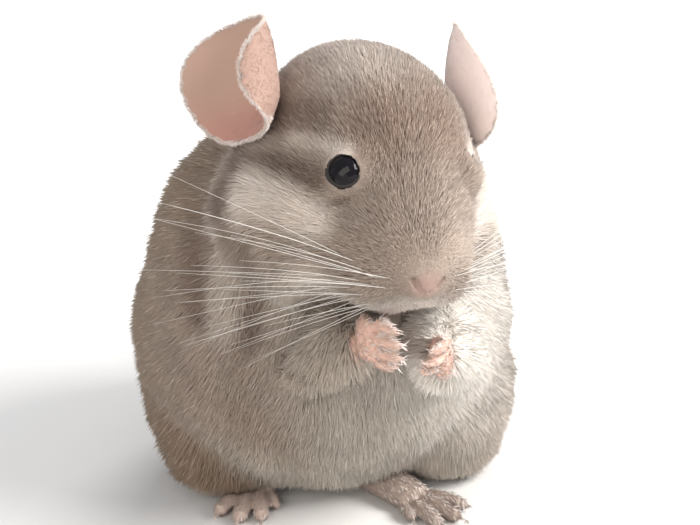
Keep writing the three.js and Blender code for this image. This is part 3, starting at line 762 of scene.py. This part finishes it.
def tufts(name, count, density, width, lift, spread, curl, seed,
          uneven=0.07, white=0.04, stretch=1.0, bleach=0.0, glow=0.0):
    """One piece of the coat. density is a share for each point of the skin, lift the rise of the
    tufts off it, and glow how far they are lit as thin hairs that light passes through."""
    draw = np.random.default_rng(SEED + seed)
    count = int(count * FULL)
    chance = areas * density[triangles].mean(1)
    chosen = draw.choice(len(triangles), count, p=chance / chance.sum())
    a, b = draw.random(count), draw.random(count)
    over = a + b > 1
    a[over], b[over] = 1 - a[over], 1 - b[over]
    weights = np.stack([1 - a - b, a, b], 1)

    def at(values):
        picked = values[triangles[chosen]]
        return (picked * (weights[..., None] if picked.ndim == 3 else weights)).sum(1)

    root, up, along = at(skin_points), unit(at(soft_normals)), at(lie)
    along = unit(along - up * (along * up).sum(1)[:, None])
    across = np.cross(up, along)
    swing = draw.normal(0, spread, count)[:, None]
    along = along * np.cos(swing) + across * np.sin(swing)
    across = np.cross(up, along)
    rise = np.clip(lift + draw.normal(0, 0.12, count), 0.08, 1.45)[:, None]
    reach = (at(length) * stretch * draw.uniform(0.75, 1.08, count))[:, None]
    way = along * np.cos(rise) + up * np.sin(rise)
    half = width * draw.uniform(0.75, 1.25, count)[:, None] / 2
    tip = root + way * reach
    middle = root + way * reach * 0.4 + up * (reach * curl + half * 0.5)
    root = root - up * np.minimum(0.3 * MM, 0.2 * reach)
    points = np.stack([root, middle + across * half, middle - across * half, tip], 1).reshape(-1, 3)
    points[:, 2] = np.maximum(points[:, 2], FLOOR_GAP)  # tufts that reach the floor lie flat on it
    faces = np.array([[0, 2, 1], [3, 1, 2], [0, 1, 3], [0, 3, 2]])
    faces = (faces[None] + 4 * np.arange(count)[:, None, None]).reshape(-1, 3)
    mesh = bpy.data.meshes.new(name)
    mesh.vertices.add(len(points))
    mesh.vertices.foreach_set("co", points.astype(np.float32).ravel())
    mesh.loops.add(len(faces) * 3)
    mesh.loops.foreach_set("vertex_index", faces.astype(np.int32).ravel())
    mesh.polygons.add(len(faces))
    mesh.polygons.foreach_set("loop_start", np.arange(0, len(faces) * 3, 3, dtype=np.int32))
    mesh.update(calc_edges=True)
    piece = bpy.data.objects.new(name, mesh)
    bpy.context.scene.collection.objects.link(piece)
    base = at(tint) * np.clip(1 + uneven * draw.normal(0, 1, count), 0.6, 1.5)[:, None]
    base = base + (DOWN_WHITE - base) * bleach
    pale = (draw.random(count) < white)[:, None]
    tip_colour = np.where(pale, base * 1.5 + 0.2, base * 1.06)
    paint(piece, np.stack([base * 0.82, base, base, tip_colour], 1).reshape(-1, 3))
    uv_root = (corner_uv[chosen] * weights[..., None]).sum(1)
    offsets = np.array([[-1, 0], [0, -1], [0, 1], [1, 0]]) * PATCH
    uv = (uv_root[:, None] + offsets[None]).reshape(-1, 2)
    layer = mesh.uv_layers.new(name="OFBake")
    layer.data.foreach_set("uv", uv[faces.ravel()].astype(np.float32).ravel())
    mesh.polygons.foreach_set("use_smooth", np.ones(len(faces), bool))
    side = across * 0.5
    up = unit(up * (1 - glow) + LIT_FROM * glow)
    shade = np.stack([up, up + side, up - side, up], 1).reshape(-1, 3)
    mesh.normals_split_custom_set_from_vertices(unit(shade).tolist())
    dress(piece, coat_finish)
    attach(piece, "root")
    return piece


plain = 1 - np.max([share[k] for k in ("ear", "hind_foot", "forepaw", "tail")], axis=0)
bald_nose = 1 - 0.85 * blot(in_head, (0, -48, -4), (6, 5, 5), 0.4)
open_mouth = 1 - 0.8 * np.maximum(streak(in_head, MOUTH, 1.0), streak(in_head, LIP_SPLIT, 0.8))
eyes_clear = np.ones(len(skin_points))
for centre in EYE_CENTRES.values():
    eyes_clear *= smooth_step(np.linalg.norm(skin_points - centre, axis=1), 5.9 * MM, 6.5 * MM)
head_hair = plain * share["head"] * eyes_clear * bald_nose * open_mouth
body_hair = plain * (1 - share["head"])
forward = smooth_step(-in_body[:, 1], -2, 2)
leftward = smooth_step(in_body[:, 0], -2, 2)

HEAD_STYLE = dict(width=0.17 * MM, lift=0.62, spread=0.14, curl=0.06, uneven=0.12, white=0.12)
BODY_STYLE = dict(width=0.26 * MM, lift=0.7, spread=0.17, curl=0.08)
tufts("coat_face_left", 46000, head_hair * leftward, seed=1, **HEAD_STYLE)
tufts("coat_face_right", 49000, head_hair * (1 - leftward), seed=2, **HEAD_STYLE)
tufts("coat_chest_left", 46000, body_hair * forward * leftward, seed=3, **BODY_STYLE)
tufts("coat_chest_right", 49000, body_hair * forward * (1 - leftward), seed=4, **BODY_STYLE)
tufts("coat_back_left", 45000, body_hair * (1 - forward) * leftward, seed=5, **BODY_STYLE)
tufts("coat_back_right", 45000, body_hair * (1 - forward) * (1 - leftward), seed=6, **BODY_STYLE)
TAIL_STYLE = dict(width=0.4 * MM, lift=0.5, spread=0.25, curl=0.05, uneven=0.16)
EAR_STYLE = dict(width=0.07 * MM, lift=0.12, spread=0.2, curl=0.03, uneven=0.03, white=0.0)
RIM_STYLE = dict(
    width=0.09 * MM, lift=0.8, spread=0.4, curl=0.02, uneven=0.05, white=0.1, bleach=0.5, glow=0.75
)
FEET_STYLE = dict(width=0.1 * MM, lift=0.35, spread=0.2, curl=0.05, uneven=0.1, white=0.1)
BRISTLE_STYLE = dict(
    width=0.13 * MM, lift=0.25, spread=0.12, curl=0.06, uneven=0.1, white=0.3, stretch=2.2, bleach=0.6
)
ear_faces = share["ear"] * (1.1 - ear_inside) * (1 - ear_rim)
paws_and_feet = share["hind_foot"] + 0.4 * share["forepaw"]
finger_tops = smooth_step(skin_normals @ [0, -0.8, 0.6], -0.2, 0.5)
fingers = share["forepaw"] * smooth_step(-in_body[:, 1], 56, 66) * finger_tops
toe_tops = smooth_step(skin_normals[:, 2], -0.2, 0.5)
toes = share["hind_foot"] * smooth_step(-in_body[:, 1], 20, 40) * toe_tops
tufts("coat_tail", 22000, share["tail"], seed=7, **TAIL_STYLE)
tufts("coat_ears", 8000, ear_faces, seed=8, **EAR_STYLE)
tufts("coat_ear_rims", 9000, share["ear"] * ear_rim, seed=11, **RIM_STYLE)
tufts("coat_feet", 16000, paws_and_feet, seed=9, **FEET_STYLE)
tufts("coat_bristles", 900, fingers + 0.6 * toes, seed=10, **BRISTLE_STYLE)

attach(skin, "root")
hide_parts(*[n for n in nodes if not n.startswith("eye_")])

# Eyelids: dark rims round the eyes

skin_shape = BVHTree.FromObject(skin, bpy.context.evaluated_depsgraph_get())
LID_RADIUS, LID_THICKNESS, LID_OUT = 4.35 * MM, 0.9 * MM, 2.9 * MM
lid_dark = plain_material("lid_dark", (0.025, 0.02, 0.018), 0.75)
for side, centre in EYE_CENTRES.items():
    near = np.linalg.norm(skin_points - centre, axis=1)
    eye_out = unit(skin_normals[(near > 6 * MM) & (near < 9 * MM)].mean(0))
    facing = Vector(eye_out).to_track_quat("Z", "Y").to_matrix().to_4x4()
    deselect_all()
    bpy.ops.mesh.primitive_torus_add(
        major_segments=48, minor_segments=12, major_radius=LID_RADIUS, minor_radius=LID_THICKNESS
    )
    lid = bpy.context.active_object
    lid.name = "lid_" + side
    lid.data.transform(Matrix.Diagonal((1.1, 0.95, 1, 1)))
    lid.data.transform(Matrix.Translation(Vector(centre + eye_out * LID_OUT)) @ facing)
    bpy.ops.object.shade_smooth()
    dress(lid, lid_dark)
    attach(lid, "root")

# Whiskers, each a fine tapered tube

MUZZLE_MIDDLE = from_head(0, -21, -7.5)
WHISKER_ROWS, WHISKER_COLUMNS = 5, 6
WHISKER_LENGTH = 70 * MM
WHISKER_RADIUS = 0.1 * MM
draw = np.random.default_rng(SEED)


def whisker(sign, row, column):
    """row and column go from 0 at the top front of the muzzle to 1."""
    row, column = row + draw.uniform(-0.08, 0.08), column + draw.uniform(-0.08, 0.08)
    aim = head_way(sign * (0.4 + 0.5 * column), -1.0 + 0.4 * column, 0.14 - 0.56 * row)
    root = np.array(skin_shape.ray_cast(Vector(MUZZLE_MIDDLE), Vector(aim))[0])
    rise = 0.2 - 0.85 * row + draw.uniform(-0.07, 0.07)
    back = 0.12 + 0.3 * column + draw.uniform(0, 0.12)
    way = head_way(
        sign * math.cos(back) * math.cos(rise), math.sin(back) * math.cos(rise), math.sin(rise)
    )
    reach = WHISKER_LENGTH * (0.6 + 0.34 * column) * (1 - 0.15 * row) * draw.uniform(0.8, 1.03)
    droop = draw.uniform(0.06, 0.26)
    steps = (-0.01, 0.2, 0.4, 0.6, 0.8, 1)
    points = []
    for t in steps:
        bow = HEAD_AXES @ np.array([0, 0.06 * t * t, -droop * abs(t) ** 1.7])
        points.append(root + (way * t + bow) * reach)
    return tube("whisker", points, [WHISKER_RADIUS * (1 - 0.75 * t) for t in steps], 4)


whisker_pale = plain_material("whisker_pale", (0.68, 0.65, 0.61), 0.4)
for sign, side in ((1, "left"), (-1, "right")):
    made = [
        whisker(sign, row / (WHISKER_ROWS - 1), column / (WHISKER_COLUMNS - 1))
        for row in range(WHISKER_ROWS)
        for column in range(WHISKER_COLUMNS)
    ]
    whiskers = joined(made, "long_whiskers_" + side)
    bpy.ops.object.shade_smooth()
    dress(whiskers, whisker_pale)
    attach(whiskers, "root")

eye_black = plain_material("eye_black", (0.006, 0.005, 0.007), 0.06, Specular_IOR_Level=0.22)
for side in ("left", "right"):
    dress(nodes["eye_" + side], eye_black)
    make_active(nodes["eye_" + side])
    bpy.ops.object.shade_smooth()

# The stage: a plain pale floor, soft light and the camera

deselect_all()
bpy.ops.mesh.primitive_plane_add(size=6, location=(0, 0, 0))
floor = bpy.context.active_object
floor.name = "floor"
dress(floor, plain_material("floor_pale", (0.78, 0.77, 0.75), 0.8))

VIEW_AZIMUTH = math.radians(-17)
VIEW_ELEVATION = math.radians(20)
VIEW_DISTANCE = 0.470
VIEW_TARGET = from_body(0, -15, 76)
FOCAL_PX = 1560
FRAME_WIDTH_PX = 700
FRAME_OFFSET_PX = 5

back = np.array(
    [
        math.sin(VIEW_AZIMUTH) * math.cos(VIEW_ELEVATION),
        -math.cos(VIEW_AZIMUTH) * math.cos(VIEW_ELEVATION),
        math.sin(VIEW_ELEVATION),
    ]
)
camera_data = bpy.data.cameras.new("camera")
camera = bpy.data.objects.new("camera", camera_data)
bpy.context.scene.collection.objects.link(camera)
camera_data.sensor_width = 36
camera_data.lens = FOCAL_PX * camera_data.sensor_width / FRAME_WIDTH_PX
camera_data.shift_x = FRAME_OFFSET_PX / FRAME_WIDTH_PX
camera_data.clip_start = 0.01
camera_data.clip_end = 20
camera.location = Vector(VIEW_TARGET + back * VIEW_DISTANCE)
camera.rotation_euler = Vector(-back).to_track_quat("-Z", "Y").to_euler()
bpy.context.scene.camera = camera


def soft_light(name, at, aim, size, power, colour):
    data = bpy.data.lights.new(name, "AREA")
    data.shape = "DISK"
    data.size = size
    data.energy = power
    data.color = colour
    lamp = bpy.data.objects.new(name, data)
    bpy.context.scene.collection.objects.link(lamp)
    lamp.location = at
    lamp.rotation_euler = (Vector(aim) - Vector(at)).to_track_quat("-Z", "Y").to_euler()
    return lamp


MIDDLE = (0, -0.05, 0.08)
soft_light("key", (0.75, -0.45, 0.75), MIDDLE, 0.7, 18, (1.0, 0.98, 0.95))
soft_light("fill", (-0.7, -0.9, 0.5), MIDDLE, 0.9, 6, (1.0, 0.93, 0.84))
soft_light("rim", (0.4, 0.8, 0.7), MIDDLE, 0.6, 7, (1.0, 1.0, 1.0))

world = bpy.data.worlds.new("world")
bpy.context.scene.world = world
world.use_nodes = True
world.node_tree.nodes["Background"].inputs["Color"].default_value = (0.9, 0.93, 1.0, 1)
world.node_tree.nodes["Background"].inputs["Strength"].default_value = 0.55
bpy.context.scene.view_settings.view_transform = "Standard"
